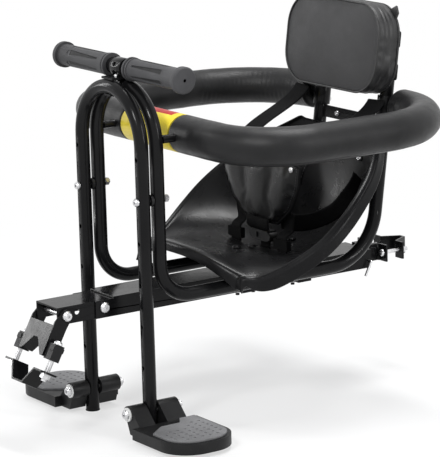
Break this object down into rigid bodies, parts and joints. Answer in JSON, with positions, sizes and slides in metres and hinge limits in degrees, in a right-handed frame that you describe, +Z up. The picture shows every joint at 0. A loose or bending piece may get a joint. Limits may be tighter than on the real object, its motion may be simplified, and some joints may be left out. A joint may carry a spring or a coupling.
{
  "type": "child bike seat",
  "caption": "Front-mounted child bicycle seat: bent-tube frame with hoop, folding footrests, moulded shell, padded guard ring, head cushion, harness, and frame and seat-post clamps.",
  "frame": {"origin": "centre of the seat-post clamp, between its two V jaws", "axes": "+Z up along the seat post, -Y forwards in the direction of travel, which the child faces, +X to the child's left"},
  "size_m": [0.551, 0.6892, 0.5798],
  "materials": {
    "black_steel": "gloss black",
    "zinc": "bright zinc",
    "black_plastic": "fine matt",
    "seat_plastic": "satin gloss",
    "tread": "matt grey",
    "grip": "matt",
    "foam": "matt dark grey foam",
    "yellow_band": "satin yellow with a red stripe",
    "white_nylon": "matt white",
    "cushion": "matt face, glossy sides",
    "vest": "glossy coated cloth",
    "webbing": "woven"
  },
  "bodies": {
    "frame": {"foot_hoop": "black_steel", "seat_frame": "black_steel", "rear_posts": "black_steel", "leg_spacers": "black_plastic", "tube_plugs": "black_plastic", "height_bolts": "zinc", "height_nuts": "zinc", "footrest_bolts": "zinc", "footrest_washers": "white_nylon", "footrest_nuts": "zinc", "handle_bar": "black_steel", "left_grip": "grip", "right_grip": "grip", "handle_bracket": "black_steel", "handle_plate": "black_steel", "handle_bolt": "zinc", "front_beam": "black_steel", "rear_beam": "black_steel", "beam_bolt": "zinc", "cross_plates": "black_steel", "beam_straps": "black_steel", "cross_bolts": "black_steel", "cross_nuts": "zinc", "clamp_pivot_bolt": "zinc", "post_clamp_body": "black_steel", "post_clamp_bolts": "zinc", "lock_pin": "zinc", "seat_shell": "seat_plastic", "seat_screws": "zinc", "ring_tube": "black_steel", "left_foam": "foam", "right_foam": "foam", "front_band": "yellow_band", "ring_standoffs": "black_steel", "ring_collars": "black_steel", "ring_screws": "zinc", "upper_back_bar": "black_steel", "lower_back_bar": "black_steel", "back_screws": "zinc", "head_cushion": "cushion", "cushion_straps": "webbing", "left_shoulder_strap": "webbing", "right_shoulder_strap": "webbing", "vest_pad": "vest", "hip_straps": "webbing", "waist_straps": "webbing", "strap_sliders": "webbing", "crotch_strap": "webbing", "buckle": "black_plastic"},
    "left_footrest": {"left_footplate": "black_plastic", "left_tread": "tread"},
    "right_footrest": {"right_footplate": "black_plastic", "right_tread": "tread"},
    "front_clamp": {"clamp_bracket": "black_steel", "clamp_rod_guides": "black_plastic", "clamp_rods": "zinc"},
    "front_jaw": {"clamp_jaw": "black_steel", "clamp_nuts": "zinc"},
    "rear_jaw": {"post_clamp_jaw": "black_steel", "post_clamp_nuts": "zinc"}
  },
  "joints": [
    {"name": "left_footrest_fold", "type": "hinge", "parent": "frame", "child": "left_footrest", "pos_m": [0.079, -0.475, -0.151], "axis": [0, -1, 0], "range_deg": [0, 90]},
    {"name": "right_footrest_fold", "type": "hinge", "parent": "frame", "child": "right_footrest", "pos_m": [-0.079, -0.475, -0.151], "axis": [0, 1, 0], "range_deg": [0, 90]},
    {"name": "front_clamp_swing", "type": "hinge", "parent": "frame", "child": "front_clamp", "pos_m": [0, -0.5785, -0.0055], "axis": [-1, 0, 0], "range_deg": [-20, 75]},
    {"name": "front_jaw_slide", "type": "slide", "parent": "front_clamp", "child": "front_jaw", "axis": [0, 0.4802, 0.8771], "range_m": [0, 0.012]},
    {"name": "rear_jaw_slide", "type": "slide", "parent": "frame", "child": "rear_jaw", "axis": [0, -1, 0], "range_m": [0, 0.012]}
  ]
}
